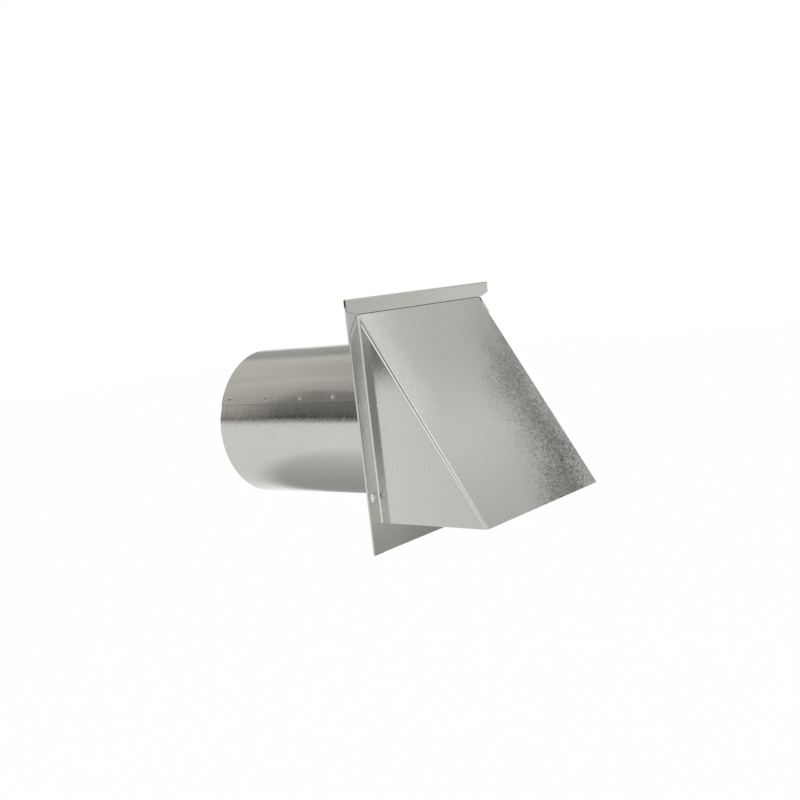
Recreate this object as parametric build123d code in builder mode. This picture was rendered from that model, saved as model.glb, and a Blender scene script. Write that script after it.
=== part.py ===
"""Hooded wall vent of galvanised sheet steel: wall plate, folded hood, round duct collar
and a back-draft flap that hangs over the duct mouth inside the hood.

Frame: origin on the duct axis in the wall plane (the back of the plate), X to the right
seen from the front, Y into the wall, Z up. All sizes in millimetres.
"""

import os
from math import atan2, cos, degrees, radians, sin, tan

from build123d import *

# Sheet and duct
sheet_t = 0.5  # plate, hood and duct sheet
duct_od = 101.6  # nominal 4 in duct
duct_len = 145.0  # wall plane to the free end of the duct

# Lap seam of the duct and its clinch dimples
seam_angle = 158.9  # free edge of the outer layer, from +X towards +Z
seam_lap = 10.5  # width of the overlap, along the arc
seam_flat = 10.0  # flat strip that dives under the outer layer, along the arc
dimple_inset = 3.1  # dimple row to the free edge, along the arc
dimple_ball_r = 3.0
dimple_depth = 0.45
dimple_from_end = (7.6, 41.7, 73.2, 101.6, 130.0)  # along the duct, from its free end

# Joint of the duct to the plate: a drawn neck with the duct end rolled over it
swage_step = 0.6  # the duct end is reduced by this much on the radius
swage_len = 2.5
neck_h = 4.5  # wall plane to the end of the neck
neck_root = 0.8  # slanting root of the neck, across and along
neck_clear = 0.05
rim_lip = 0.15  # the rolled rim stands this far outside the neck
rim_bevel = 0.3

# Wall plate, from the duct's own size
margin_side = 25.4
margin_top = 31.3
margin_bottom = 21.8
hem_w = 9.6  # side hem, folded forward
hem_gap = 0.1  # air inside a closed hem
hem_top_drop = 4.9  # the side hems stop this far below the top fold
top_hem_h = 9.4  # top hem, folded down over the hood's top flange
top_hem_clear = 0.05
bevel_w = 8.2  # bevel at each end of the top hem
bevel_h = 2.6
corner_snip = 1.2
notch_low = 11.8  # relief at the right top corner, below the top hem

# Hood
flange_w = 8.8
flange_inset = 1.0  # plate edge to the edge of the side flange
mitre_drop = 10.8  # height of the mitre at the top of each side flange
hood_depth = 78.1  # wall plane to the front lip
lip_drop = 4.5  # front lip below the duct
cheek_drop = 3.4  # cheeks at the plate below the duct
fold_r = 1.5  # inside radius of the front folds
flange_bend_r = 1.2  # inside radius of the side flange bends
top_flange_clear = 0.05

# Rivets
rivet_d = 3.2
rivet_head_d = 6.35
rivet_head_h = 1.4
rivet_clear = 0.05
hood_rivet_up = 16.5  # rivet above the foot of the side flange
bracket_head_d = 5.0
bracket_head_h = 1.0
pan_top = 0.7  # flat top of a pan head, as a share of its diameter

# Damper flap, its hinge rod and brackets
flap_t = 0.5
flap_lap = 2.6  # flap beyond the rim, all round
flap_clear = 0.3  # closed flap to the rim
knuckle_inset = 15.5  # side edge of the flap to the end of its knuckle
knuckle_clear = 0.08
knuckle_mouth = 70.0  # degrees left open in the rolled knuckle
rod_d = 2.4
rod_head_d = 3.8
rod_head_t = 0.8
hinge_rise = 3.8  # rod above the rim
bracket_t = 0.8
bracket_clear = 0.06  # rod in its ear
bracket_gap = 1.2  # knuckle end to the ear
bracket_h = 9.0
bracket_foot = 10.0
bracket_bend_r = 0.6
ear_edge = 2.2  # ear beyond the rod axis
rod_play = 0.1  # ear to the upset rod end

# Places that follow from the sizes above
duct_r = duct_od / 2
plate_hw = duct_r + margin_side
plate_top = duct_r + margin_top
plate_bottom = -duct_r - margin_bottom
hem_t = 2 * sheet_t + hem_gap
hem_top = plate_top - hem_top_drop
slot = hem_t - sheet_t + top_hem_clear  # space under the top hem
top_fold_r = sheet_t + slot / 2
top_hem_low = plate_top - top_hem_h

hood_hw = plate_hw - flange_inset - flange_w
lip_z = -duct_r - lip_drop
cheek_z = -duct_r - cheek_drop
flange_back = -hem_t
flange_front = flange_back - sheet_t
top_flange_back = -sheet_t - top_flange_clear
top_flange_front = top_flange_back - sheet_t
hood_top = top_hem_low
slope = atan2(hood_depth + top_flange_front, hood_top - lip_z)  # front panel from upright

swage_r = duct_r - swage_step
neck_ri = swage_r + neck_clear
neck_ro = neck_ri + sheet_t
rim_r = neck_ro + rim_lip
rim_front = -neck_h - sheet_t

rod_r = rod_d / 2
knuckle_ri = rod_r + knuckle_clear
knuckle_ro = knuckle_ri + flap_t
flap_back = rim_front - flap_clear
flap_front = flap_back - flap_t
rod_y = flap_back + knuckle_ri
rod_z = rim_r + hinge_rise
flap_r = rim_r + flap_lap
knuckle_len = 2 * (flap_r - knuckle_inset)
ear_in = knuckle_len / 2 + bracket_gap
bracket_rivet_x = ear_in + bracket_t + (bracket_foot - bracket_t) / 2
bracket_seat = -sheet_t - bracket_t
rod_half = ear_in + bracket_t + rod_play

hood_rivet_x = plate_hw - flange_inset - flange_w / 2
hood_rivet_z = cheek_z + hood_rivet_up


def at_angle(radius, angle):
    return (radius * cos(radians(angle)), radius * sin(radians(angle)))


def dome_middle(radius, height):
    """Point half way along the arc of a dome that rises to -height at the axis."""
    ball = (radius**2 + height**2) / (2 * height)
    half = atan2(radius, ball - height) / 2
    return (ball * sin(half), ball - height - ball * cos(half))


def rivet(x, seat, z, head_d, head_h, domed=True):
    """Rivet with a domed or pan head on the plane y = seat and its tail set flush with the wall plane."""
    head_r = head_d / 2
    with BuildSketch(Plane(origin=(x, seat, z), x_dir=(1, 0, 0), z_dir=(0, 0, 1))) as half:
        with BuildLine():
            Polyline((head_r, 0), (rivet_d / 2, 0), (rivet_d / 2, -seat), (0, -seat), (0, -head_h))
            if domed:
                ThreePointArc((0, -head_h), dome_middle(head_r, head_h), (head_r, 0))
            else:
                Polyline((0, -head_h), (pan_top * head_r, -head_h), (head_r, 0))
        make_face()
    revolve(half.sketch, axis=Axis((x, seat, z), (0, 1, 0)))


with BuildPart() as wall_plate:
    # flat sheet, full width above the side hems, narrower where they fold round
    hem_fold_r = hem_t / 2
    with BuildSketch(Plane.XZ):
        with Locations((0, (plate_bottom + hem_top) / 2)):
            Rectangle(2 * (plate_hw - hem_fold_r), hem_top - plate_bottom)
        with Locations((0, (hem_top + plate_top - top_fold_r) / 2)):
            Rectangle(2 * plate_hw, plate_top - top_fold_r - hem_top)
        Circle(neck_ro + neck_root, mode=Mode.SUBTRACT)
    extrude(amount=sheet_t)
    # side hems
    fold_x = plate_hw - hem_fold_r
    with BuildSketch(Plane.XY.offset(plate_bottom)):
        with BuildLine():
            mid_r = hem_fold_r - sheet_t / 2
            fold = CenterArc((fold_x, -hem_fold_r), mid_r, 90, -180)
            Line(fold @ 1, (plate_hw - hem_w, (fold @ 1).Y))
        trace(line_width=sheet_t)
        mirror(about=Plane.YZ)
    extrude(amount=hem_top - plate_bottom)
    # top hem, open by one sheet for the hood's top flange
    with BuildSketch(Plane.YZ.offset(-plate_hw)):
        with BuildLine():
            fold = CenterArc((-top_fold_r, plate_top - top_fold_r), slot / 2 + sheet_t / 2, 0, 180)
            Line(fold @ 1, ((fold @ 1).X, top_hem_low))
        trace(line_width=sheet_t)
    extrude(amount=2 * plate_hw)
    # bevelled ends of the top hem
    with BuildSketch(Plane.XZ.offset(sheet_t + slot)):
        with BuildLine():
            Polyline(
                (plate_hw - bevel_w, top_hem_low),
                (plate_hw, top_hem_low + bevel_h),
                (plate_hw, top_hem_low),
                close=True,
            )
        make_face()
        mirror(about=Plane.YZ)
    extrude(amount=sheet_t, mode=Mode.SUBTRACT)
    # relief cut in the right edge, between the top hem and the mitred flange
    with BuildSketch(Plane.XZ):
        with BuildLine():
            Polyline(
                (plate_hw, top_hem_low + bevel_h),
                (hood_hw, top_hem_low),
                (plate_hw, top_hem_low - notch_low),
                close=True,
            )
        make_face()
    extrude(amount=hem_t, mode=Mode.SUBTRACT)
    # drawn neck round the duct mouth
    with BuildSketch(Plane.XY):
        with BuildLine():
            neck_mid = neck_ri + sheet_t / 2
            root_x = neck_ro + neck_root
            Polyline(
                (root_x + sheet_t, -sheet_t / 2),
                (root_x, -sheet_t / 2),
                (neck_mid, -root_x + neck_mid - sheet_t / 2),
                (neck_mid, -neck_h),
            )
        trace(line_width=sheet_t)
    revolve(axis=Axis.Y)
    # rivet holes
    with BuildSketch(Plane.XZ):
        with Locations((-hood_rivet_x, hood_rivet_z), (hood_rivet_x, hood_rivet_z)):
            Circle(rivet_d / 2 + rivet_clear)
        with Locations((-bracket_rivet_x, rod_z), (bracket_rivet_x, rod_z)):
            Circle(rivet_d / 2 + rivet_clear)
    extrude(amount=hem_t, mode=Mode.SUBTRACT)
    # snipped lower corners
    with BuildSketch(Plane.XZ):
        with BuildLine():
            Polyline(
                (plate_hw - corner_snip, plate_bottom),
                (plate_hw, plate_bottom + corner_snip),
                (plate_hw, plate_bottom),
                close=True,
            )
        make_face()
        mirror(about=Plane.YZ)
    extrude(amount=hem_t, mode=Mode.SUBTRACT)

front_dir = Vector(0, -sin(slope), -cos(slope))
front_in = Vector(0, cos(slope), -sin(slope))
front_line = Vector(0, top_flange_front, hood_top)
front_out = Plane(origin=front_line, x_dir=(1, 0, 0), z_dir=-front_in)


def wedge(inset, fold):
    """Filled wedge under the front panel, run past the wall plane and the open bottom."""
    reach = hood_depth / sin(slope) * 1.3
    back = hood_depth * 0.2
    top = front_line + front_in * inset - front_dir * (back / sin(slope))
    low = front_line + front_in * inset + front_dir * reach
    with BuildSketch(Plane.YZ) as profile:
        with BuildLine():
            Polyline((top.Y, top.Z), (low.Y, low.Z), (top.Y, low.Z), close=True)
        make_face()
    prism = extrude(profile.sketch, amount=hood_hw - inset, both=True)
    folds = prism.edges().filter_by(lambda e: abs((e % 0.5).dot(front_dir)) > 0.999)
    fillet(folds, fold)


with BuildPart() as hood_core:
    wedge(sheet_t, fold_r)

with BuildPart() as hood:
    wedge(0, fold_r + sheet_t)
    add(hood_core.part, mode=Mode.SUBTRACT)
    # open bottom, cut on a line from the plate to the front lip
    bottom_rise = atan2(cheek_z - lip_z, hood_depth)
    bottom = Plane(origin=(0, 0, cheek_z), x_dir=(1, 0, 0), z_dir=(0, -sin(bottom_rise), cos(bottom_rise)))
    split(bisect_by=bottom, keep=Keep.TOP)
    split(bisect_by=Plane.XZ.offset(-top_flange_back), keep=Keep.TOP)
    # the cheeks stop where the flange bends begin
    bend_y = flange_front - flange_bend_r
    with BuildSketch(Plane.XY.offset(lip_z)):
        with Locations((hood_hw - sheet_t / 2, bend_y / 2), (sheet_t / 2 - hood_hw, bend_y / 2)):
            Rectangle(sheet_t, -bend_y)
    extrude(amount=hood_top - lip_z, mode=Mode.SUBTRACT)

with BuildPart() as side_flange:
    with BuildSketch(Plane.XY.offset(cheek_z)):
        with BuildLine():
            bend_mid = flange_bend_r + sheet_t / 2
            stub = Line((hood_hw - sheet_t / 2, bend_y - sheet_t), (hood_hw - sheet_t / 2, bend_y))
            bend = CenterArc((hood_hw + flange_bend_r, bend_y), bend_mid, 180, -90)
            Line(bend @ 1, (hood_hw + flange_w, (bend @ 1).Y))
        trace(line_width=sheet_t)
    extrude(amount=hood_top - cheek_z)
    split(bisect_by=front_out, keep=Keep.BOTTOM)
    # mitred top
    with BuildSketch(Plane.XZ):
        with BuildLine():
            Polyline(
                (hood_hw, hood_top),
                (hood_hw + flange_w, hood_top - mitre_drop),
                (hood_hw + flange_w, hood_top),
                close=True,
            )
        make_face()
    extrude(amount=-flange_front, mode=Mode.SUBTRACT)
    with BuildSketch(Plane.XZ):
        with Locations((hood_rivet_x, hood_rivet_z)):
            Circle(rivet_d / 2 + rivet_clear)
    extrude(amount=-flange_front, mode=Mode.SUBTRACT)

with hood:
    add(side_flange.part)
    mirror(side_flange.part, about=Plane.YZ)
    # top flange, under the top hem
    bend_drop = sheet_t * tan(slope / 2)
    flange_top = plate_top - top_fold_r
    with BuildSketch(Plane.XZ.offset(-top_flange_back)):
        with Locations((0, (flange_top + hood_top - bend_drop) / 2)):
            Rectangle(2 * (hood_hw - sheet_t), flange_top - hood_top + bend_drop)
    extrude(amount=sheet_t)

with BuildPart() as duct_collar:
    lap_end = seam_angle - degrees(seam_lap / duct_r)
    flat_end = seam_angle + degrees(seam_flat / duct_r)
    mid_outer = (seam_angle + flat_end) / 2 + 180
    mid_inner = (lap_end + flat_end) / 2 + 180
    mid_lap = (lap_end + seam_angle) / 2
    inner_r = duct_r - sheet_t
    lap_r = inner_r - sheet_t
    # rolled sheet with its edges lapped
    with BuildSketch(Plane(origin=(0, duct_len, 0), x_dir=(1, 0, 0), z_dir=(0, -1, 0))):
        with BuildLine():
            ThreePointArc(at_angle(duct_r, seam_angle), at_angle(duct_r, mid_outer), at_angle(duct_r, flat_end))
            Polyline(at_angle(duct_r, flat_end), at_angle(inner_r, seam_angle), at_angle(duct_r, seam_angle))
        make_face()
        with BuildLine():
            ThreePointArc(at_angle(inner_r, lap_end), at_angle(inner_r, mid_inner), at_angle(inner_r, flat_end))
            Line(at_angle(inner_r, flat_end), at_angle(lap_r, seam_angle))
            ThreePointArc(at_angle(lap_r, seam_angle), at_angle(lap_r, mid_lap), at_angle(lap_r, lap_end))
            Line(at_angle(lap_r, lap_end), at_angle(inner_r, lap_end))
        make_face(mode=Mode.SUBTRACT)
    extrude(amount=duct_len - swage_len)
    # reduced end inside the neck, rolled outward over the end of the neck
    with BuildSketch(Plane.XY):
        with BuildLine():
            Polyline(
                (duct_r, swage_len),
                (swage_r, -sheet_t),
                (swage_r, -neck_h),
                (rim_r, -neck_h),
                (rim_r, rim_front),
                (swage_r - sheet_t, rim_front),
                (swage_r - sheet_t, -sheet_t),
                (inner_r, swage_len),
                close=True,
            )
        make_face()
    revolve(axis=Axis.Y)
    rim_edge = duct_collar.edges().filter_by(GeomType.CIRCLE).group_by(Axis.Y)[0].sort_by(SortBy.RADIUS)[0]
    chamfer(rim_edge, rim_bevel)

# clinch dimples, pressed in from outside through both layers of the lap
dimple_angle = seam_angle - degrees(dimple_inset / duct_r)
outward_x, outward_z = at_angle(1, dimple_angle)
ball_x, ball_z = at_angle(duct_r - dimple_depth + dimple_ball_r, dimple_angle)
dimples = [
    Plane(origin=(ball_x, duct_len - d, ball_z), x_dir=(outward_x, 0, outward_z), z_dir=(0, 1, 0))
    for d in dimple_from_end
]

with BuildPart() as clinch_bumps:
    with Locations(*dimples):
        Sphere(dimple_ball_r + 2 * sheet_t)
    Cylinder(inner_r - sheet_t / 2, 2 * duct_len, rotation=(90, 0, 0), mode=Mode.INTERSECT)

with duct_collar:
    add(clinch_bumps.part)
    with Locations(*dimples):
        Sphere(dimple_ball_r, mode=Mode.SUBTRACT)

with BuildPart() as hood_rivet_left:
    rivet(-hood_rivet_x, flange_front, hood_rivet_z, rivet_head_d, rivet_head_h)

with BuildPart() as hood_rivet_right:
    rivet(hood_rivet_x, flange_front, hood_rivet_z, rivet_head_d, rivet_head_h)

with BuildPart() as damper_flap:
    # round flap with a straight strip up to the hinge
    with BuildSketch(Plane.XZ.offset(-flap_back)):
        Circle(flap_r)
        with Locations((0, rod_z / 2)):
            Rectangle(knuckle_len, rod_z)
    extrude(amount=flap_t)
    # knuckle, rolled back round the rod
    with BuildSketch(Plane.YZ.offset(-knuckle_len / 2)):
        with BuildLine():
            CenterArc((rod_y, rod_z), knuckle_ri + flap_t / 2, 180, knuckle_mouth - 360)
        trace(line_width=flap_t)
    extrude(amount=knuckle_len)

with BuildPart() as damper_rod:
    with BuildSketch(Plane.YZ):
        with Locations((rod_y, rod_z)):
            Circle(rod_r)
    extrude(amount=rod_half, both=True)
    with BuildSketch(Plane.YZ.offset(rod_half), Plane.YZ.offset(-rod_half - rod_head_t)):
        with Locations((rod_y, rod_z)):
            Circle(rod_head_d / 2)
    extrude(amount=rod_head_t)

with BuildPart() as hinge_bracket_right:
    foot_y = bracket_seat + bracket_t / 2
    ear_x = ear_in + bracket_t / 2
    with BuildSketch(Plane.XY.offset(rod_z - bracket_h / 2)):
        with BuildLine():
            heel_y = bracket_seat - bracket_bend_r
            Line((ear_x, rod_y - ear_edge), (ear_x, heel_y))
            bend = CenterArc(
                (ear_in + bracket_t + bracket_bend_r, heel_y), bracket_bend_r + bracket_t / 2, 180, -90
            )
            Line(bend @ 1, (ear_in + bracket_foot, foot_y))
        trace(line_width=bracket_t)
    extrude(amount=bracket_h)
    ear_tip = hinge_bracket_right.edges().filter_by(Axis.X).group_by(Axis.Y)[0]
    fillet(ear_tip, ear_edge)
    with BuildSketch(Plane.YZ.offset(ear_in)):
        with Locations((rod_y, rod_z)):
            Circle(rod_r + bracket_clear)
    extrude(amount=bracket_t, mode=Mode.SUBTRACT)
    with BuildSketch(Plane.XZ):
        with Locations((bracket_rivet_x, rod_z)):
            Circle(rivet_d / 2 + rivet_clear)
    extrude(amount=-bracket_seat, mode=Mode.SUBTRACT)

with BuildPart() as hinge_bracket_left:
    mirror(hinge_bracket_right.part, about=Plane.YZ)

with BuildPart() as bracket_rivet_left:
    rivet(-bracket_rivet_x, bracket_seat, rod_z, bracket_head_d, bracket_head_h, domed=False)

with BuildPart() as bracket_rivet_right:
    rivet(bracket_rivet_x, bracket_seat, rod_z, bracket_head_d, bracket_head_h, domed=False)

os.makedirs("parts", exist_ok=True)
pieces = {
    "wall_plate": wall_plate,
    "hood": hood,
    "duct_collar": duct_collar,
    "hood_rivet_left": hood_rivet_left,
    "hood_rivet_right": hood_rivet_right,
    "damper_flap": damper_flap,
    "damper_rod": damper_rod,
    "hinge_bracket_left": hinge_bracket_left,
    "hinge_bracket_right": hinge_bracket_right,
    "bracket_rivet_left": bracket_rivet_left,
    "bracket_rivet_right": bracket_rivet_right,
}
for label, piece in pieces.items():
    piece.part.label = label
    export_step(piece.part, f"parts/{label}.step")
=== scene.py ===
"""Hooded wall vent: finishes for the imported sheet-metal parts, and a small studio round them."""

import math

import bpy
from bpy.props import FloatProperty, FloatVectorProperty, PointerProperty
from bpy.types import Operator, Panel, PropertyGroup
from mathutils import Matrix, Vector


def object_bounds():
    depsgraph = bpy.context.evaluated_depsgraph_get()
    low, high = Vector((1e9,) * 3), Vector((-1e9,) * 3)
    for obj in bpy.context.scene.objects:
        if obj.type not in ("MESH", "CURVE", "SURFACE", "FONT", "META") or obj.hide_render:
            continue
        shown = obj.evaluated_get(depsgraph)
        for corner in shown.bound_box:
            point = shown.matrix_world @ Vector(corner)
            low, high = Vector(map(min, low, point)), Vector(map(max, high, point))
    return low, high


bl_info = {
    "name": "Hooded wall vent",
    "version": (1, 0, 0),
    "blender": (4, 5, 0),
    "location": "View3D > Sidebar > Vent",
    "description": "Galvanised finishes for a hooded wall vent, and a studio to see them in",
    "category": "Object",
}

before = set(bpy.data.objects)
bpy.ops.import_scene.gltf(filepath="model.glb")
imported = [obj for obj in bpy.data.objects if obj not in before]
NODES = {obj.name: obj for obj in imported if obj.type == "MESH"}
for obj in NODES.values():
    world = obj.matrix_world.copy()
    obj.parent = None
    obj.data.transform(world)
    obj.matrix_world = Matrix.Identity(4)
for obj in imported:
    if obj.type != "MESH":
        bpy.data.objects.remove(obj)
CAD_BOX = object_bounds()

PLATE_NODES = ("wall_plate",)
HOOD_NODES = ("hood",)
DUCT_NODES = ("duct_collar",)
RIVET_NODES = ("hood_rivet_left", "hood_rivet_right", "bracket_rivet_left", "bracket_rivet_right")
FLAP_NODES = ("damper_flap",)
BRACKET_NODES = ("hinge_bracket_left", "hinge_bracket_right")
ROD_NODES = ("damper_rod",)

MM = 0.001
WHITE = (1.0, 1.0, 1.0, 1.0)
BLACK = (0.0, 0.0, 0.0, 1.0)

# Finishes of the pieces. A seam shade is the share of the painted shade in seams that shows, a bump is
# (strength, depth), and the dicts hold inputs of the node groups.
SHEET_SEAM_SHADE = 0.3
HOOD_FOLD = {"Side": 66.4 * MM, "Front": -1.6 * MM, "Reach": 11.0 * MM, "Bend": 0.03}
DUCT_ZINC = {"Tilt": 0.015, "Smooth": 0.1, "Dull": 0.16, "Ripple": 0.03, "Roll Marks": 0.08}
DUCT_HIGHLIGHT_REACH = 2.0
FLAP_TINT = 0.92
BRACKET_TINT = 0.85
BRACKET_GRAIN = 0.6
BRACKET_CONTRAST = 0.4
DULL_STEP = 0.055
EDGE_ROUGHNESS = 0.4
SHADE_CUTS_HIGHLIGHT = 1.5
ROD_BUMP = (0.25, 0.05 * MM)
RIVET_BUMP = (0.2, 0.08 * MM)
RIVET_SEAM_SHADE = 0.85
RIVET_STREAKS = {"Stretch": (1400.0, 300.0, 1400.0), "Smooth": 0.06, "Dull": 0.15}

# Socket types of the node groups, and the colour sockets of a Mix node
COLOUR, NUMBER, VECTOR = "NodeSocketColor", "NodeSocketFloat", "NodeSocketVector"
MIX_FIRST, MIX_SECOND, MIX_RESULT = 6, 7, 2

# Patterns in the metal, and its painted highlight along edges and painted shade in seams. A scale counts
# waves per metre, or per crystal where its name says so. A band is the part of a value's range that is used,
# and patches are (scale, band, least share).
SLOW_DETAIL = 1.0
FINE_DETAIL = 3.0
MIDDLE_BAND = (0.3, 0.7)
ABOUT_ZERO = (-0.5, 0.5)
WANDER_PER_CRYSTAL = 1.3
SPECKS_PER_CRYSTAL = 4.0
CLOUD_SCALE = 16.0
CLOUD_SHARE = 0.35
CLOUD_GLOSS = 0.3
SPECK_SHARE = 0.25
RIPPLE_SCALE = 22.0
ROLL_STRETCH = (10.0, 650.0, 10.0)
ROLL_BAND = (0.45, 0.75)
FOLD_BAND = (-1.0 * MM, -0.2 * MM)
# Painted highlight along folds and cut edges
EDGE_HIGHLIGHT_BAND = (0.995, 0.85)
EDGE_HIGHLIGHT_PATCHES = (260.0, (0.35, 0.6), 0.65)
EDGE_HIGHLIGHT_SAMPLES = 4
# Painted shade in seams, gaps, under rivet heads and in dimples, where ambient occlusion finds them shut in
SEAM_SHADE_BAND = (0.8, 0.4)
SEAM_SHADE_PATCHES = (320.0, (0.3, 0.65), 0.55)
SEAM_SHADE_SAMPLES = 6
STAIN_SCALE = 420.0
STAIN_SHARE = 0.6
STREAK_BAND = (0.55, 1.05)

# Studio
SENSOR_WIDTH = 36.0
FLOOR_SIZE = 12.0
FLOOR_GLOW = 0.92
FLOOR_ROUGHNESS = 0.9
FLOOR_SHINE = 0.1
UP = Vector((0.0, 0.0, 1.0))
PLAIN = Vector((1.0, 1.0, 1.0))
WARM = Vector((1.0, 0.97, 0.915))
LIGHT_LAYER = "light"

# Soft boxes: azimuth and elevation seen from the vent in degrees, distance, width and height in metres,
# brightness
SOFT_BOXES = {
    "front_box": (-80.0, 41.0, 1.4, 1.4, 0.3, 0.5),
    "side_box": (-180.0, 15.5, 1.4, 1.1, 0.3, 0.7),
}

# Plain card on the camera's side: corners as azimuth and elevation in degrees
CAMERA_CARD = ((-154.0, 30.0), (-120.0, 30.0), (-120.0, 46.0), (-154.0, 46.0))
CAMERA_CARD_DISTANCE = 1.4
CAMERA_CARD_COLOUR = (0.3, 0.3, 0.3, 1.0)

# The other cards have light that changes over them. Levels and edges are (place, value) pairs, a band is
# (none, all) along a smooth step, and a slope is such a band after the amount that it adds.

# Slit card. The sloping front reflects a small part of the room, which a dark slit crosses from upper right
# to lower left. along counts degrees down the slit, above counts degrees up and left of it.
SLIT_DISTANCE = 1.45
SLIT_START = (-16.0, 30.1)
SLIT_WAY = (0.7133, 0.7009)
SLIT_LEVELS = (
    (2.0, 0.81),
    (5.5, 0.82),
    (8.0, 0.9),
    (11.0, 1.02),
    (14.0, 0.96),
    (17.0, 0.86),
    (20.0, 0.77),
)
SLIT_GLOW_ABOVE = (0.45, 6.8, 10.4)
SLIT_GLOW_ALONG = (13.0, 8.0)
SLIT_BEND = 9.0
SLIT_OFFSET = 0.35
SLIT_TURN = 0.172
SLIT_HALF = 0.75
SLIT_SPREAD = 0.03
SLIT_BLUR = 0.6
SLIT_DEPTH = (0.97, -3.0, 9.0)
SLIT_EASE_BELOW = (0.55, -0.2, -1.0)
SLIT_EASE_ALONG = (6.0, 13.0)
SLAT_PITCH = 1.9
SLAT_SHARE = 0.6
SLAT_BRIGHT = 1.25
SLAT_DARK = 0.1

# Left card. A dark corner of the room stands over a bright table. across runs from LEFT_NEAR to LEFT_FAR, up
# is the height, both in millimetres. The stripe is what the flat strip under the duct's seam reflects.
LEFT_NEAR = Vector((-0.328, 0.067, 0.0))
LEFT_FAR = Vector((-0.082, 0.382, 0.0))
LEFT_HIGH = (0.0, 45.0)
LEFT_TUBE = (112.0, 150.0)
LEFT_TABLE = 1.01
LEFT_TABLE_SLOPE = (0.1, 50.0, 105.0)
LEFT_LEVELS = (
    (250.0, 0.62),
    (300.0, 0.72),
    (320.0, 0.8),
    (340.0, 0.86),
    (360.0, 0.8),
    (400.0, 0.72),
)
LEFT_DARK = 0.32
LEFT_FOOT = (0.0, 26.0)
LEFT_FOOT_ON_TUBE = (12.0, 36.0)
LEFT_TOP = (228.0, 190.0)
LEFT_EDGES = ((60.0, 262.0), (85.0, 244.0), (165.0, 244.0), (205.0, 250.0))
LEFT_EDGE_BLUR = 16.0
STRIPE_END = 270.0
STRIPE_FOOT = 71.0
STRIPE_RISE = 0.325
STRIPE_DROP = (3.5, 215.0, 262.0)
STRIPE_DARKER = (0.08, 222.0, 185.0)
STRIPE_TOP = (26.0, 14.0)
STRIPE_BELOW = (3.5, -2.5)
STRIPE_BELOW_LIGHT = 0.05

# Ceiling card over the duct and under card below it, which show in the tube: places in metres
CEILING_HEIGHT = 0.35
CEILING_LIGHT = 0.69
CEILING_BACK = (0.13, 0.29, 0.45)
CEILING_PATCH = (0.15, 0.03, 0.1)
CEILING_PATCH_END = (0.2, 0.12)
CEILING_PATCH_BACK = (0.46, 0.3)
CEILING_SHADE = (0.33, 0.14, 0.24)
CEILING_PLAIN = (0.1, 0.2)
UNDER_HEIGHT = -0.12
UNDER_BRIGHT = 1.1
UNDER_BACK = (0.185, 0.225)
UNDER_LEVELS = (
    (-0.17, 1.0),
    (-0.134, 0.86),
    (-0.105, 0.76),
    (-0.057, 0.62),
    (-0.007, 0.5),
    (0.03, 0.45),
    (0.4, 0.4),
)

# Table card. The foot of the plate and its top strip reflect the front of a table: azimuth and elevation in
# degrees
TABLE_DISTANCE = 0.72
TABLE_STRIP_LEVELS = ((-44.0, 0.82), (-38.0, 0.92), (-31.5, 1.0))
TABLE_FOOT = 0.74
TABLE_FOOT_SHADE = (0.22, -44.0, -38.0)
TABLE_FOOT_FADE = (0.35, -14.0, -22.0)
TABLE_BEND = (-2.5, -8.5)

# Corner card. The corners between the flanges and the cheeks send light back towards the camera's side:
# azimuth and elevation in degrees
CORNER_DISTANCE = 1.3
CORNER_DARK = 0.72
CORNER_DARK_LOW = (0.75, -7.5, -12.0)
CORNER_DARK_HIGH = (0.45, -2.0, 1.0)
CORNER_BRIGHT = 1.8
CORNER_BRIGHT_LOW = (0.35, -8.5, -11.5)
CORNER_BRIGHT_HIGH = (0.55, -5.0, -1.0)
CORNER_EDGE = -141.2
CORNER_EDGE_SHIFT = (1.3, -6.0, -2.0)
CORNER_EDGE_WIDTH = 4.5
CORNER_BLUE = 1.03


class VentFinish(PropertyGroup):
    """Colours and grain sizes of the metal."""

    zinc_light: FloatVectorProperty(
        name="Light zinc",
        description="Colour of the brighter zinc crystals",
        subtype="COLOR",
        default=(0.53, 0.53, 0.497),
        min=0.0,
        max=1.0,
    )
    zinc_dark: FloatVectorProperty(
        name="Dark zinc",
        description="Colour of the duller zinc crystals",
        subtype="COLOR",
        default=(0.47, 0.47, 0.44),
        min=0.0,
        max=1.0,
    )
    # Colour of the painted highlight along folds and cut edges; the rivets' light streaks take it too
    highlight_and_rivet_colour: FloatVectorProperty(
        name="Edge highlight",
        description="Colour of the painted highlight along folds and cut edges, and of the rivets' light streaks",
        subtype="COLOR",
        default=(0.74, 0.735, 0.72),
        min=0.0,
        max=1.0,
    )
    # Colour of the painted shade laid into seams, gaps and corners
    seam_shade_colour: FloatVectorProperty(
        name="Seam grime",
        description="Colour of the painted shade in seams and corners",
        subtype="COLOR",
        default=(0.16, 0.155, 0.145),
        min=0.0,
        max=1.0,
    )
    grain: FloatProperty(
        name="Crystal size",
        description="Typical width of one zinc crystal on the sheet",
        subtype="DISTANCE",
        unit="LENGTH",
        default=0.95 * MM,
        min=0.2 * MM,
    )
    sheet_roughness: FloatProperty(
        name="Sheet roughness",
        description="Roughness of the smoother crystals",
        subtype="FACTOR",
        default=0.08,
        min=0.0,
        max=1.0,
    )
    # Width of the painted highlight along edges
    edge_width: FloatProperty(
        name="Edge width",
        description="How far the painted highlight reaches in from an edge",
        subtype="DISTANCE",
        unit="LENGTH",
        default=0.35 * MM,
        min=0.05 * MM,
    )


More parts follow.
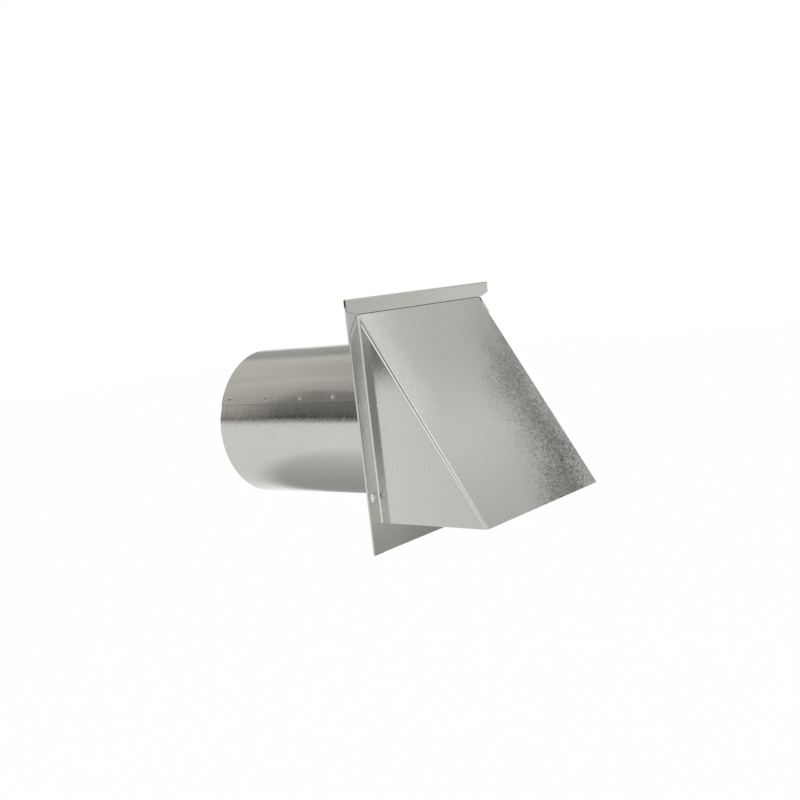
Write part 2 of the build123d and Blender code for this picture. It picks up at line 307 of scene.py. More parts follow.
class VentStage(PropertyGroup):
    """Camera and floor."""

    azimuth: FloatProperty(
        name="Azimuth",
        description="Direction the camera looks along, from +Y towards +X",
        subtype="ANGLE",
        default=math.radians(51.898),
    )
    elevation: FloatProperty(
        name="Elevation",
        description="Height of the camera above the horizon",
        subtype="ANGLE",
        default=math.radians(5.983),
    )
    roll: FloatProperty(
        name="Roll",
        description="Turn of the camera about its own line of sight",
        subtype="ANGLE",
        default=math.radians(6.481),
    )
    distance: FloatProperty(
        name="Distance",
        description="Camera to the duct mouth, along the line of sight",
        subtype="DISTANCE",
        unit="LENGTH",
        default=0.74732,
    )
    offset: FloatVectorProperty(
        name="Offset",
        description="Move of the camera to its right and up, which frames the object",
        subtype="TRANSLATION",
        unit="LENGTH",
        size=2,
        default=(-0.02178, 0.01079),
    )
    lens: FloatProperty(
        name="Focal length",
        description="Focal length on a 36 mm sensor",
        subtype="DISTANCE_CAMERA",
        unit="CAMERA",
        default=51.965,
    )
    floor_drop: FloatProperty(
        name="Floor drop",
        description="Floor below the lowest edge of the vent",
        subtype="DISTANCE",
        unit="LENGTH",
        default=0.33,
    )
    floor_colour: FloatVectorProperty(
        name="Floor colour",
        description="Colour of the plain floor",
        subtype="COLOR",
        default=(0.92, 0.92, 0.92),
        min=0.0,
        max=1.0,
    )


def add_node(tree, kind, **settings):
    """New node of that kind in a node tree, with the given attributes set."""
    node = tree.nodes.new(kind)
    for name, value in settings.items():
        setattr(node, name, value)
    return node


def feed(tree, socket, source):
    """Links an output socket to an input, or sets the input to a plain value."""
    if isinstance(source, bpy.types.NodeSocket):
        tree.links.new(source, socket)
    else:
        socket.default_value = source


def maths(tree, operation, first, second=0.0):
    """One maths node. Returns its output."""
    node = add_node(tree, "ShaderNodeMath", operation=operation)
    feed(tree, node.inputs[0], first)
    feed(tree, node.inputs[1], second)
    return node.outputs["Value"]


def vector_maths(tree, operation, first, second=None, scale=None):
    """One vector maths node. Returns its vector output."""
    node = add_node(tree, "ShaderNodeVectorMath", operation=operation)
    feed(tree, node.inputs[0], first)
    if second is not None:
        feed(tree, node.inputs[1], second)
    if scale is not None:
        feed(tree, node.inputs["Scale"], scale)
    return node.outputs["Vector"]


def ramp(tree, value, low, high, to_low=0.0, to_high=1.0):
    """Map Range node, clamped. Returns its result."""
    node = add_node(tree, "ShaderNodeMapRange", clamp=True)
    feed(tree, node.inputs["Value"], value)
    feed(tree, node.inputs["From Min"], low)
    feed(tree, node.inputs["From Max"], high)
    feed(tree, node.inputs["To Min"], to_low)
    feed(tree, node.inputs["To Max"], to_high)
    return node.outputs["Result"]


def blend_colour(tree, factor, first, second):
    """Mix of two colours. Returns the result."""
    node = add_node(tree, "ShaderNodeMix", data_type="RGBA")
    feed(tree, node.inputs["Factor"], factor)
    feed(tree, node.inputs[MIX_FIRST], first)
    feed(tree, node.inputs[MIX_SECOND], second)
    return node.outputs[MIX_RESULT]


def object_place(tree):
    """Place on the piece, in its own axes."""
    return add_node(tree, "ShaderNodeTexCoord").outputs["Object"]


def noise(tree, place, scale, detail=2.0):
    """Noise texture. Returns its outputs."""
    node = add_node(tree, "ShaderNodeTexNoise")
    feed(tree, node.inputs["Vector"], place)
    feed(tree, node.inputs["Scale"], scale)
    node.inputs["Detail"].default_value = detail
    return node.outputs


def swing(tree, colour, size):
    """Random colour as a vector that swings about zero, by that size."""
    centred = vector_maths(tree, "SUBTRACT", colour, (0.5, 0.5, 0.5))
    return vector_maths(tree, "SCALE", centred, scale=size)


def patchy(tree, mask, patches, amount):
    """Mask broken up by noise, times an amount."""
    scale, band, least = patches
    grain = noise(tree, object_place(tree), scale, FINE_DETAIL)["Fac"]
    broken = ramp(tree, grain, *band, least, 1.0)
    return maths(tree, "MULTIPLY", maths(tree, "MULTIPLY", mask, broken), amount)


def new_group(name, inputs, outputs):
    """Empty shader group. inputs are (name, socket type, default), outputs are (name, socket type)."""
    tree = bpy.data.node_groups.new(name, "ShaderNodeTree")
    for label, kind, default in inputs:
        socket = tree.interface.new_socket(label, in_out="INPUT", socket_type=kind)
        socket.default_value = default
    for label, kind in outputs:
        tree.interface.new_socket(label, in_out="OUTPUT", socket_type=kind)
    given = add_node(tree, "NodeGroupInput").outputs
    result = add_node(tree, "NodeGroupOutput").inputs
    return tree, given, result


def zinc_crystals(name):
    """Hot-dip zinc: crystals that differ in tone, gloss and tilt, on a sheet that is not quite flat."""
    tree, given, result = new_group(
        name,
        (
            ("Light", COLOUR, (0.6, 0.6, 0.6, 1.0)),
            ("Dark", COLOUR, (0.4, 0.4, 0.4, 1.0)),
            ("Crystal Size", NUMBER, 1.7 * MM),
            ("Contrast", NUMBER, 0.5),
            ("Smooth", NUMBER, 0.25),
            ("Dull", NUMBER, 0.4),
            ("Tilt", NUMBER, 0.017),
            ("Ripple", NUMBER, 0.02),
            ("Roll Marks", NUMBER, 0.0),
            ("Lean", VECTOR, (0.0, 0.0, 0.0)),
        ),
        (("Color", COLOUR), ("Roughness", NUMBER), ("Normal", VECTOR)),
    )
    place = object_place(tree)
    density = maths(tree, "DIVIDE", 1.0, given["Crystal Size"])

    # crystal outlines wander a little, so that they are not straight-sided cells
    wander = noise(tree, place, maths(tree, "MULTIPLY", density, WANDER_PER_CRYSTAL), SLOW_DETAIL)
    shift = swing(tree, wander["Color"], given["Crystal Size"])
    cells = add_node(tree, "ShaderNodeTexVoronoi", feature="F1")
    feed(tree, cells.inputs["Vector"], vector_maths(tree, "ADD", place, shift))
    feed(tree, cells.inputs["Scale"], density)
    parts = add_node(tree, "ShaderNodeSeparateColor")
    feed(tree, parts.inputs["Color"], cells.outputs["Color"])
    tone, gloss = parts.outputs["Red"], parts.outputs["Green"]

    # slow clouds over the sheet, and fine grain inside each crystal
    cloud = ramp(tree, noise(tree, place, CLOUD_SCALE)["Fac"], *MIDDLE_BAND, *ABOUT_ZERO)
    fine = noise(tree, place, maths(tree, "MULTIPLY", density, SPECKS_PER_CRYSTAL))["Fac"]
    speck = ramp(tree, fine, *MIDDLE_BAND, *ABOUT_ZERO)
    spread = maths(tree, "MULTIPLY", maths(tree, "SUBTRACT", tone, 0.5), given["Contrast"])
    mixed = maths(tree, "ADD", spread, maths(tree, "MULTIPLY", cloud, CLOUD_SHARE))
    mixed = maths(tree, "ADD", mixed, maths(tree, "MULTIPLY", speck, SPECK_SHARE))
    level = ramp(tree, mixed, *ABOUT_ZERO)
    feed(tree, result["Color"], blend_colour(tree, level, given["Dark"], given["Light"]))

    wear = maths(tree, "ADD", gloss, maths(tree, "MULTIPLY", cloud, CLOUD_GLOSS))
    rough = ramp(tree, wear, 0.0, 1.0, given["Smooth"], given["Dull"])
    # the rolls leave fine lines round a tube that lies along Y
    pulled = vector_maths(tree, "MULTIPLY", place, ROLL_STRETCH)
    lines = ramp(tree, noise(tree, pulled, 1.0, FINE_DETAIL)["Fac"], *ROLL_BAND)
    lines = maths(tree, "MULTIPLY", lines, given["Roll Marks"])
    feed(tree, result["Roughness"], maths(tree, "ADD", rough, lines))

    tilt = swing(tree, cells.outputs["Color"], given["Tilt"])
    wave = swing(tree, noise(tree, place, RIPPLE_SCALE, SLOW_DETAIL)["Color"], given["Ripple"])
    bent = add_node(tree, "ShaderNodeNewGeometry").outputs["Normal"]
    for lean in (tilt, wave, given["Lean"]):
        bent = vector_maths(tree, "ADD", bent, lean)
    feed(tree, result["Normal"], vector_maths(tree, "NORMALIZE", bent))


def soft_fold(name):
    """Lean of the hood's sheet beside the folds of its side flanges, where the bend springs back."""
    tree, given, result = new_group(
        name,
        (
            ("Side", NUMBER, 66.4 * MM),
            ("Front", NUMBER, 0.0),
            ("Reach", NUMBER, 11.0 * MM),
            ("Bend", NUMBER, 0.03),
        ),
        (("Lean", VECTOR),),
    )
    place = add_node(tree, "ShaderNodeSeparateXYZ")
    feed(tree, place.inputs["Vector"], object_place(tree))
    x, y = place.outputs["X"], place.outputs["Y"]
    beside = maths(tree, "SUBTRACT", maths(tree, "ABSOLUTE", x), given["Side"])
    ahead = maths(tree, "SUBTRACT", given["Front"], y)
    away = maths(tree, "MAXIMUM", beside, ahead)
    lean = ramp(tree, away, given["Reach"], 0.0, 0.0, given["Bend"])
    # the sloping front lies between the folds, and stays flat
    lean = maths(tree, "MULTIPLY", lean, ramp(tree, beside, *FOLD_BAND))
    join = add_node(tree, "ShaderNodeCombineXYZ")
    feed(tree, join.inputs["X"], maths(tree, "MULTIPLY", lean, maths(tree, "SIGN", x)))
    feed(tree, join.inputs["Y"], maths(tree, "MULTIPLY", lean, -1.0))
    feed(tree, result["Lean"], join.outputs["Vector"])


def painted_edge_highlight(name):
    """Mask of the painted highlight: a narrow bright line along folds and cut edges, broken up by noise."""
    tree, given, result = new_group(
        name,
        (("Width", NUMBER, 0.35 * MM), ("Amount", NUMBER, 0.7)),
        (("Mask", NUMBER),),
    )
    rounded = add_node(tree, "ShaderNodeBevel", samples=EDGE_HIGHLIGHT_SAMPLES)
    feed(tree, rounded.inputs["Radius"], given["Width"])
    same = add_node(tree, "ShaderNodeVectorMath", operation="DOT_PRODUCT")
    feed(tree, same.inputs[0], rounded.outputs["Normal"])
    feed(tree, same.inputs[1], add_node(tree, "ShaderNodeNewGeometry").outputs["Normal"])
    near = ramp(tree, same.outputs["Value"], *EDGE_HIGHLIGHT_BAND)
    feed(tree, result["Mask"], patchy(tree, near, EDGE_HIGHLIGHT_PATCHES, given["Amount"]))


def painted_seam_shade(name):
    """Mask of painted shade, found by ambient occlusion: a dark line where sheets meet, under rivet heads
    and in dimples.
    """
    tree, given, result = new_group(
        name,
        (("Reach", NUMBER, 2.6 * MM), ("Amount", NUMBER, 0.6)),
        (("Mask", NUMBER),),
    )
    shut_in = add_node(tree, "ShaderNodeAmbientOcclusion", samples=SEAM_SHADE_SAMPLES)
    feed(tree, shut_in.inputs["Distance"], given["Reach"])
    near = ramp(tree, shut_in.outputs["AO"], *SEAM_SHADE_BAND)
    feed(tree, result["Mask"], patchy(tree, near, SEAM_SHADE_PATCHES, given["Amount"]))


def drawn_streaks(name):
    """Fine die lines, along X unless stretched another way, with small stains."""
    tree, given, result = new_group(
        name,
        (
            ("Light", COLOUR, (0.6, 0.6, 0.6, 1.0)),
            ("Dark", COLOUR, (0.4, 0.4, 0.4, 1.0)),
            ("Stretch", VECTOR, (60.0, 3000.0, 3000.0)),
            ("Smooth", NUMBER, 0.2),
            ("Dull", NUMBER, 0.4),
        ),
        (("Color", COLOUR), ("Roughness", NUMBER), ("Height", NUMBER)),
    )
    place = object_place(tree)
    pulled = vector_maths(tree, "MULTIPLY", place, given["Stretch"])
    lines = noise(tree, pulled, 1.0, FINE_DETAIL)["Fac"]
    stain = noise(tree, place, STAIN_SCALE)["Fac"]
    mixed = maths(tree, "ADD", lines, maths(tree, "MULTIPLY", stain, STAIN_SHARE))
    level = ramp(tree, mixed, *STREAK_BAND)
    feed(tree, result["Color"], blend_colour(tree, level, given["Dark"], given["Light"]))
    feed(tree, result["Roughness"], ramp(tree, stain, *MIDDLE_BAND, given["Smooth"], given["Dull"]))
    feed(tree, result["Height"], lines)


GROUPS = {
    "Zinc crystals": zinc_crystals,
    "Soft fold": soft_fold,
    "Edge rub": painted_edge_highlight,
    "Seam grime": painted_seam_shade,
    "Drawn streaks": drawn_streaks,
}


def place_group(material, name, values):
    """A group node in a material, with its own input values. Builds the group the first time."""
    if name not in bpy.data.node_groups:
        GROUPS[name](name)
    node = add_node(material.node_tree, "ShaderNodeGroup", node_tree=bpy.data.node_groups[name])
    for label, value in values.items():
        node.inputs[label].default_value = value
    return node


def opaque(colour, tint=1.0):
    """Colour with full alpha, made darker or lighter by tint."""
    return (*(part * tint for part in colour), 1.0)


def new_material(name):
    """New material with nodes. Returns it with its Principled BSDF."""
    material = bpy.data.materials.new(name)
    material.use_nodes = True
    return material, material.node_tree.nodes["Principled BSDF"]


def metal(name):
    """New metal material. Returns it with its Principled BSDF."""
    material, shader = new_material(name)
    shader.inputs["Metallic"].default_value = 1.0
    return material, shader


def zinc_metal(name, finish, tint=1.0, highlight_reach=1.0, shade_share=1.0, fold=None, **changes):
    """Galvanised sheet: crystals, with a painted highlight along folds and edges and painted shade in seams.
    """
    material, shader = metal(name)
    tree = material.node_tree
    values = {
        "Light": opaque(finish.zinc_light, tint),
        "Dark": opaque(finish.zinc_dark, tint),
        "Crystal Size": finish.grain,
        "Smooth": finish.sheet_roughness,
        "Dull": finish.sheet_roughness + DULL_STEP,
    }
    values.update(changes)
    crystals = place_group(material, "Zinc crystals", values)
    if fold:
        sprung = place_group(material, "Soft fold", fold)
        feed(tree, crystals.inputs["Lean"], sprung.outputs["Lean"])
    edge_highlight = place_group(material, "Edge rub", {"Width": finish.edge_width * highlight_reach}).outputs["Mask"]
    shade_mask = place_group(material, "Seam grime", {}).outputs["Mask"]
    # the painted highlight is held back inside folds, where the painted shade lies
    outside_shade = maths(tree, "SUBTRACT", 1.0, maths(tree, "MULTIPLY", shade_mask, SHADE_CUTS_HIGHLIGHT))
    highlight_mask = maths(tree, "MULTIPLY", edge_highlight, maths(tree, "MAXIMUM", outside_shade, 0.0))
    colour = blend_colour(tree, highlight_mask, crystals.outputs["Color"], opaque(finish.highlight_and_rivet_colour))
    shade_amount = maths(tree, "MULTIPLY", shade_mask, shade_share)
    colour = blend_colour(tree, shade_amount, colour, opaque(finish.seam_shade_colour))
    edge_rough = maths(tree, "MULTIPLY", highlight_mask, EDGE_ROUGHNESS)
    rough = maths(tree, "MAXIMUM", crystals.outputs["Roughness"], edge_rough)
    feed(tree, shader.inputs["Base Color"], colour)
    feed(tree, shader.inputs["Roughness"], rough)
    feed(tree, shader.inputs["Normal"], crystals.outputs["Normal"])
    return material


def drawn_metal(name, finish, light, dark, bump, shade_share=0.0, **changes):
    """Drawn steel: fine streaks, with painted shade in the seams where a share of it is given."""
    material, shader = metal(name)
    tree = material.node_tree
    values = {"Light": opaque(light), "Dark": opaque(dark), **changes}
    streaks = place_group(material, "Drawn streaks", values).outputs
    colour = streaks["Color"]
    if shade_share:
        shade_mask = place_group(material, "Seam grime", {"Amount": shade_share}).outputs["Mask"]
        colour = blend_colour(tree, shade_mask, colour, opaque(finish.seam_shade_colour))
    strength, depth = bump
    relief = add_node(tree, "ShaderNodeBump")
    relief.inputs["Strength"].default_value = strength
    relief.inputs["Distance"].default_value = depth
    feed(tree, relief.inputs["Height"], streaks["Height"])
    feed(tree, shader.inputs["Base Color"], colour)
    feed(tree, shader.inputs["Roughness"], streaks["Roughness"])
    feed(tree, shader.inputs["Normal"], relief.outputs["Normal"])
    return material


def dress(names, material):
    """Gives the named CAD nodes that material."""
    for name in names:
        slots = NODES[name].data.materials
        slots.clear()
        slots.append(material)


class VENT_OT_sheet(Operator):
    """Finish the wall plate and the hood in galvanised sheet"""

    bl_idname = "vent.sheet"
    bl_label = "Plate and hood"

    def execute(self, context):
        finish = context.scene.vent_finish
        # both sheets get painted shade in their seams and a painted highlight along folds and edges
        dress(PLATE_NODES, zinc_metal("galvanised_plate", finish, shade_share=SHEET_SEAM_SHADE))
        dress(HOOD_NODES, zinc_metal("galvanised_hood", finish, shade_share=SHEET_SEAM_SHADE, fold=HOOD_FOLD))
        return {"FINISHED"}


class VENT_OT_duct(Operator):
    """Finish the rolled duct collar in galvanised sheet"""

    bl_idname = "vent.duct"
    bl_label = "Duct collar"

    def execute(self, context):
        finish = context.scene.vent_finish
        # the duct's painted edge highlight reaches wider than on the other sheets
        dress(DUCT_NODES, zinc_metal("galvanised_duct", finish, highlight_reach=DUCT_HIGHLIGHT_REACH, **DUCT_ZINC))
        return {"FINISHED"}


class VENT_OT_damper(Operator):
    """Finish the damper flap and its hinge brackets"""

    bl_idname = "vent.damper"
    bl_label = "Damper flap and brackets"

    def execute(self, context):
        finish = context.scene.vent_finish
        dress(FLAP_NODES, zinc_metal("damper_sheet", finish, tint=FLAP_TINT))
        brackets = {"Crystal Size": finish.grain * BRACKET_GRAIN, "Contrast": BRACKET_CONTRAST}
        dress(BRACKET_NODES, zinc_metal("bracket_sheet", finish, tint=BRACKET_TINT, **brackets))
        return {"FINISHED"}


class VENT_OT_rod(Operator):
    """Finish the hinge rod as drawn wire"""

    bl_idname = "vent.rod"
    bl_label = "Hinge rod"

    def execute(self, context):
        finish = context.scene.vent_finish
        wire = drawn_metal("drawn_wire", finish, finish.zinc_light, finish.zinc_dark, ROD_BUMP)
        dress(ROD_NODES, wire)
        return {"FINISHED"}


class VENT_OT_rivets(Operator):
    """Finish the rivets in plated steel"""

    bl_idname = "vent.rivets"
    bl_label = "Rivets"

    def execute(self, context):
        finish = context.scene.vent_finish
        # painted shade rings the rivet heads where they meet the sheet
        steel = drawn_metal(
            "rivet_steel",
            finish,
            finish.highlight_and_rivet_colour,
            finish.zinc_light,
            RIVET_BUMP,
            shade_share=RIVET_SEAM_SHADE,
            **RIVET_STREAKS,
        )
        dress(RIVET_NODES, steel)
        return {"FINISHED"}


def seen(azimuth, elevation, distance):
    """Point that the vent sees: degrees from +X towards +Y, degrees up, and metres."""
    turn = math.radians(azimuth)
    lift = math.radians(elevation)
    across = math.cos(lift)
    return Vector((across * math.cos(turn), across * math.sin(turn), math.sin(lift))) * distance


def step(low, high, value):
    """Smooth step from 0 at low to 1 at high."""
    t = min(max((value - low) / (high - low), 0.0), 1.0)
    return t * t * (3.0 - 2.0 * t)


def added(slope, value):
    """Amount that a slope adds at that value."""
    amount, low, high = slope
    return amount * step(low, high, value)


def blend(first, second, share):
    """Value between two, by share."""
    return first + (second - first) * share


def between(pairs, value):
    """Straight lines between (place, value) pairs."""
    for (a, low), (b, high) in zip(pairs, pairs[1:]):
        if value < b:
            return low + (high - low) * max(value - a, 0.0) / (b - a)
    return pairs[-1][1]


def slit_point(along, above):
    """Place on the slit card."""
    run, rise = SLIT_WAY
    azimuth = SLIT_START[0] - run * along - rise * above
    elevation = SLIT_START[1] - rise * along + run * above
    return seen(azimuth, elevation, SLIT_DISTANCE)


def slit_light(along, above):
    """Light of the slit card: a glow above the dark slit, and slats below it."""
    down = max(along - SLIT_BEND, 0.0)
    off = above - (SLIT_OFFSET - SLIT_TURN * down)
    half = SLIT_HALF + SLIT_SPREAD * down
    level = between(SLIT_LEVELS, along)
    level += added(SLIT_GLOW_ABOVE, above) * step(*SLIT_GLOW_ALONG, along)
    if off < -half:
        slat = (-half - off) % SLAT_PITCH
        level = SLAT_BRIGHT if slat < SLAT_SHARE * SLAT_PITCH else SLAT_DARK
    ease = added(SLIT_EASE_BELOW, off) * step(*SLIT_EASE_ALONG, along)
    depth = added(SLIT_DEPTH, along) * (1.0 - ease)
    level *= 1.0 - depth * step(half + SLIT_BLUR, half, abs(off))
    return (level, level, level)


def left_point(across, up):
    """Place on the left card."""
    length = (LEFT_FAR - LEFT_NEAR).length
    return LEFT_NEAR.lerp(LEFT_FAR, across * MM / length) + UP * up * MM


def left_light(across, up):
    """Light of the left card, warm above the table."""
    high = step(*LEFT_HIGH, up)
    on_tube = step(*LEFT_TUBE, across)
    table = LEFT_TABLE + added(LEFT_TABLE_SLOPE, across)
    level = blend(table, between(LEFT_LEVELS, across), high)
    foot = [blend(off_tube, on, on_tube) for off_tube, on in zip(LEFT_FOOT, LEFT_FOOT_ON_TUBE)]
    wall = step(*foot, up)
    edge = between(LEFT_EDGES, up)
    dark = wall * step(edge + LEFT_EDGE_BLUR, edge - LEFT_EDGE_BLUR, across) * step(*LEFT_TOP, up)
    # height over the foot of the sloping stripe, and nothing of the tube sees what is below it
    over = up - (STRIPE_FOOT + STRIPE_RISE * (STRIPE_END - across)) + added(STRIPE_DROP, across)
    darker = added(STRIPE_DARKER, across) * step(*STRIPE_TOP, over)
    level = blend(level, LEFT_DARK - darker * on_tube, dark)
    level = blend(level, STRIPE_BELOW_LIGHT, step(*STRIPE_BELOW, over) * on_tube * wall)
    return tuple(PLAIN.lerp(WARM, high) * level)


def ceiling_point(x, y):
    """Place on the ceiling card."""
    return Vector((x, y, CEILING_HEIGHT))


def ceiling_light(x, y):
    """Light of the ceiling card: a brighter patch over the duct, warm to the left."""
    level = CEILING_LIGHT + added(CEILING_BACK, y)
    level += added(CEILING_PATCH, x) * step(*CEILING_PATCH_END, x) * step(*CEILING_PATCH_BACK, y)
    level -= added(CEILING_SHADE, x)
    return tuple(WARM.lerp(PLAIN, step(*CEILING_PLAIN, x)) * level)


def under_point(x, y):
    """Place on the under card."""
    return Vector((x, y, UNDER_HEIGHT))


def under_light(x, y):
    """Light of the under card: shade below the plate, bright behind it."""
    level = blend(between(UNDER_LEVELS, x), UNDER_BRIGHT, step(*UNDER_BACK, y))
    return (level, level, level)


def table_point(azimuth, elevation):
    """Place on the table card."""
    return seen(azimuth, elevation, TABLE_DISTANCE)


def table_light(azimuth, elevation):
    """Light of the table card: the top strip sees its upper part, the plate's foot its lower part."""
    foot = (TABLE_FOOT - added(TABLE_FOOT_SHADE, azimuth)) * (1.0 - added(TABLE_FOOT_FADE, elevation))
    level = blend(between(TABLE_STRIP_LEVELS, azimuth), foot, step(*TABLE_BEND, elevation))
    return (level, level, level)


def corner_point(azimuth, elevation):
    """Place on the corner card."""
    return seen(azimuth, elevation, CORNER_DISTANCE)


def corner_light(azimuth, elevation):
    """Light of the corner card: the flange sees one side of its edge, the cheek the other."""
    dark = CORNER_DARK + added(CORNER_DARK_LOW, elevation) + added(CORNER_DARK_HIGH, elevation)
    bright = CORNER_BRIGHT - added(CORNER_BRIGHT_LOW, elevation) - added(CORNER_BRIGHT_HIGH, elevation)
    edge = CORNER_EDGE + added(CORNER_EDGE_SHIFT, elevation)
    level = blend(dark, bright, step(edge, edge + CORNER_EDGE_WIDTH, azimuth))
    return (level, level, level * CORNER_BLUE)


# Graded cards: (first, last, steps) one way and the other, and the functions for place and light
GRADED_CARDS = {
    "slit_card": ((-4.0, 26.0, 60), (-9.0, 13.0, 110), slit_point, slit_light),
    "left_card": ((30.0, 400.0, 74), (-160.0, 350.0, 102), left_point, left_light),
    "ceiling_card": ((-0.5, 0.9, 56), (0.1, 1.1, 40), ceiling_point, ceiling_light),
    "under_card": ((-0.19, 0.6, 79), (0.02, 0.8, 78), under_point, under_light),
    "table_card": ((-64.0, -10.0, 54), (-32.0, 12.0, 44), table_point, table_light),
    "corner_card": ((-175.0, -115.0, 60), (-24.0, 10.0, 34), corner_point, corner_light),
}


def stage_mesh(name, points, faces, material):
    """Sheet of the studio."""
    mesh = bpy.data.meshes.new(name)
    mesh.from_pydata(points, [], faces)
    mesh.materials.append(material)
    obj = bpy.data.objects.new(name, mesh)
    bpy.context.scene.collection.objects.link(obj)
    return obj


def card_material(name):
    """Black material that glows. Returns it with its Principled BSDF."""
    material, shader = new_material(name)
    shader.inputs["Base Color"].default_value = BLACK
    shader.inputs["Specular IOR Level"].default_value = 0.0
    shader.inputs["Emission Strength"].default_value = 1.0
    return material, shader


def hide_card(obj):
    """Leaves a card to be seen by the metal alone."""
    obj.visible_camera = False
    obj.visible_diffuse = False
    obj.visible_shadow = False


def plain_card(name, corners, colour):
    """Card with the same light all over."""
    material, shader = card_material(name)
    shader.inputs["Emission Color"].default_value = colour
    hide_card(stage_mesh(name, corners, [tuple(range(len(corners)))], material))


def stations(first, last, steps):
    """Evenly spaced values from first to last."""
    return [first + (last - first) * i / steps for i in range(steps + 1)]


def graded_card(name, across, along, point, light):
    """Card whose light changes over it."""
    columns = stations(*across)
    rows = stations(*along)
    width = len(columns)
    places = [(u, v) for v in rows for u in columns]
    faces = []
    for j in range(len(rows) - 1):
        for i in range(width - 1):
            k = j * width + i
            faces.append((k, k + 1, k + width + 1, k + width))
    material, shader = card_material(name)
    tree = material.node_tree
    glow = add_node(tree, "ShaderNodeAttribute", attribute_name=LIGHT_LAYER)
    feed(tree, shader.inputs["Emission Color"], glow.outputs["Color"])
    obj = stage_mesh(name, [point(u, v) for u, v in places], faces, material)
    layer = obj.data.color_attributes.new(LIGHT_LAYER, "FLOAT_COLOR", "POINT")
    for item, (u, v) in zip(layer.data, places):
        item.color = (*light(u, v), 1.0)
    hide_card(obj)


def soft_box(scene, name, azimuth, elevation, distance, width, height, brightness):
    """Area lamp that points at the vent."""
    lamp = bpy.data.lights.new(name, "AREA")
    lamp.shape = "RECTANGLE"
    lamp.size = width
    lamp.size_y = height
    lamp.energy = brightness * math.pi * width * height
    place = seen(azimuth, elevation, distance)
    turn = (-place).to_track_quat("-Z", "Y").to_matrix().to_4x4()
    obj = bpy.data.objects.new(name, lamp)
    obj.matrix_world = Matrix.Translation(place) @ turn
    obj.visible_camera = False
    scene.collection.objects.link(obj)


def seen_rays(tree):
    """1 for camera, glossy and transmission rays, which see the white background."""
    path = add_node(tree, "ShaderNodeLightPath").outputs
    sees = maths(tree, "MAXIMUM", path["Is Camera Ray"], path["Is Glossy Ray"])
    return maths(tree, "MAXIMUM", sees, path["Is Transmission Ray"])


def floor_material(colour):
    """Pale matt floor that shows nearly white, apart from the object's shadow."""
    material, shader = new_material("studio_floor")
    tree = material.node_tree
    shader.inputs["Base Color"].default_value = opaque(colour)
    shader.inputs["Roughness"].default_value = FLOOR_ROUGHNESS
    shader.inputs["Specular IOR Level"].default_value = FLOOR_SHINE
    glow = add_node(tree, "ShaderNodeEmission")
    glow.inputs["Strength"].default_value = 1.0
    share = add_node(tree, "ShaderNodeMixShader")
    feed(tree, share.inputs[0], maths(tree, "MULTIPLY", seen_rays(tree), FLOOR_GLOW))
    feed(tree, share.inputs[1], shader.outputs["BSDF"])
    feed(tree, share.inputs[2], glow.outputs["Emission"])
    feed(tree, tree.nodes["Material Output"].inputs["Surface"], share.outputs["Shader"])
    return material


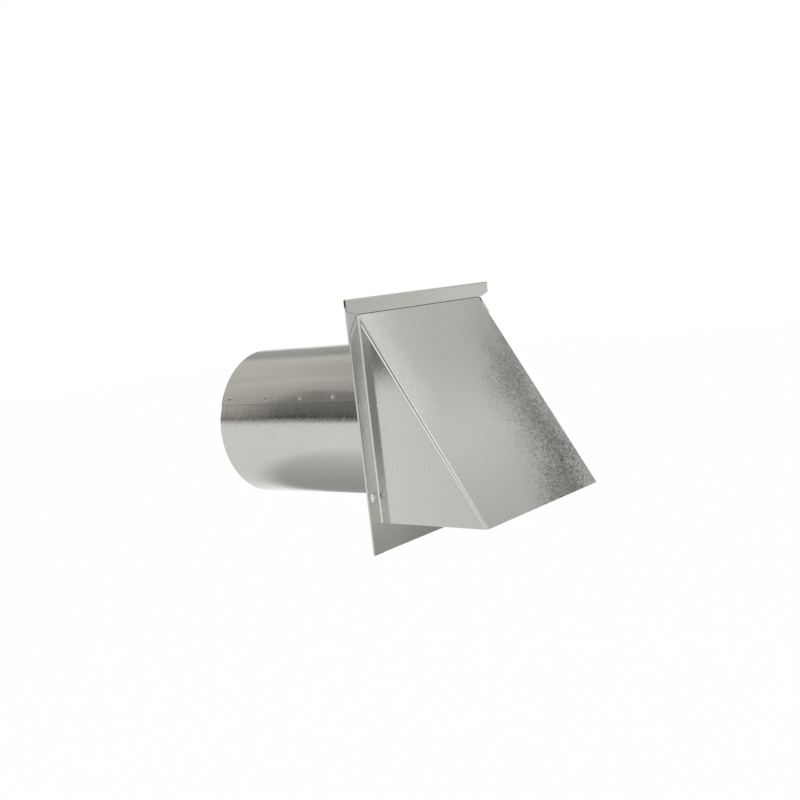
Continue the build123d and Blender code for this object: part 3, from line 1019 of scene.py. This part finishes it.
class VENT_OT_stage(Operator):
    """Make the camera, the floor, the soft boxes and the cards"""

    bl_idname = "vent.stage"
    bl_label = "Studio"

    def execute(self, context):
        scene = context.scene
        stage = scene.vent_stage
        scene.view_settings.view_transform = "Standard"
        self.camera(scene, stage)
        self.floor(stage)
        self.world(scene)
        for name, settings in SOFT_BOXES.items():
            soft_box(scene, name, *settings)
        corners = [seen(*corner, CAMERA_CARD_DISTANCE) for corner in CAMERA_CARD]
        plain_card("camera_card", corners, CAMERA_CARD_COLOUR)
        for name, settings in GRADED_CARDS.items():
            graded_card(name, *settings)
        return {"FINISHED"}

    @staticmethod
    def camera(scene, stage):
        """Camera at the photograph's place, with its roll."""
        across = math.cos(stage.elevation)
        sight = Vector(
            (
                math.sin(stage.azimuth) * across,
                math.cos(stage.azimuth) * across,
                -math.sin(stage.elevation),
            )
        )
        level = sight.cross(UP).normalized()
        upright = level.cross(sight)
        right = level * math.cos(stage.roll) - upright * math.sin(stage.roll)
        up = right.cross(sight)
        place = sight * -stage.distance + right * stage.offset[0] + up * stage.offset[1]
        turn = Matrix((right, up, -sight)).transposed().to_4x4()
        data = bpy.data.cameras.new("camera")
        data.sensor_width = SENSOR_WIDTH
        data.lens = stage.lens
        camera = bpy.data.objects.new("camera", data)
        camera.matrix_world = Matrix.Translation(place) @ turn
        scene.collection.objects.link(camera)
        scene.camera = camera

    @staticmethod
    def floor(stage):
        """Plain pale floor below the vent, large enough to meet the white background."""
        level = CAD_BOX[0].z - stage.floor_drop
        half = FLOOR_SIZE / 2
        corners = ((-half, -half), (half, -half), (half, half), (-half, half))
        points = [(x, y, level) for x, y in corners]
        stage_mesh("floor", points, [(0, 1, 2, 3)], floor_material(stage.floor_colour))

    @staticmethod
    def world(scene):
        """Plain white room."""
        world = bpy.data.worlds.new("studio")
        world.use_nodes = True
        background = world.node_tree.nodes["Background"]
        background.inputs["Color"].default_value = WHITE
        background.inputs["Strength"].default_value = 1.0
        scene.world = world


class VENT_PT_sidebar(Panel):
    """Vent finishes and studio"""

    bl_idname = "VENT_PT_sidebar"
    bl_label = "Hooded wall vent"
    bl_space_type = "VIEW_3D"
    bl_region_type = "UI"
    bl_category = "Vent"

    def draw(self, context):
        column = self.layout.column()
        for group in (context.scene.vent_finish, context.scene.vent_stage):
            for name in group.__annotations__:
                column.prop(group, name)
        for operator in OPERATORS:
            column.operator(operator.bl_idname)


OPERATORS = (VENT_OT_sheet, VENT_OT_duct, VENT_OT_damper, VENT_OT_rod, VENT_OT_rivets, VENT_OT_stage)
CLASSES = (VentFinish, VentStage, *OPERATORS, VENT_PT_sidebar)


def register():
    """Registers the classes and the scene's settings."""
    for cls in CLASSES:
        bpy.utils.register_class(cls)
    bpy.types.Scene.vent_finish = PointerProperty(type=VentFinish)
    bpy.types.Scene.vent_stage = PointerProperty(type=VentStage)


def unregister():
    """Takes the settings and the classes away again."""
    del bpy.types.Scene.vent_stage
    del bpy.types.Scene.vent_finish
    for cls in reversed(CLASSES):
        bpy.utils.unregister_class(cls)


def main():
    """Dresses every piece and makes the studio."""
    register()
    bpy.ops.vent.sheet()
    bpy.ops.vent.duct()
    bpy.ops.vent.damper()
    bpy.ops.vent.rod()
    bpy.ops.vent.rivets()
    bpy.ops.vent.stage()


if __name__ == "__main__":
    main()
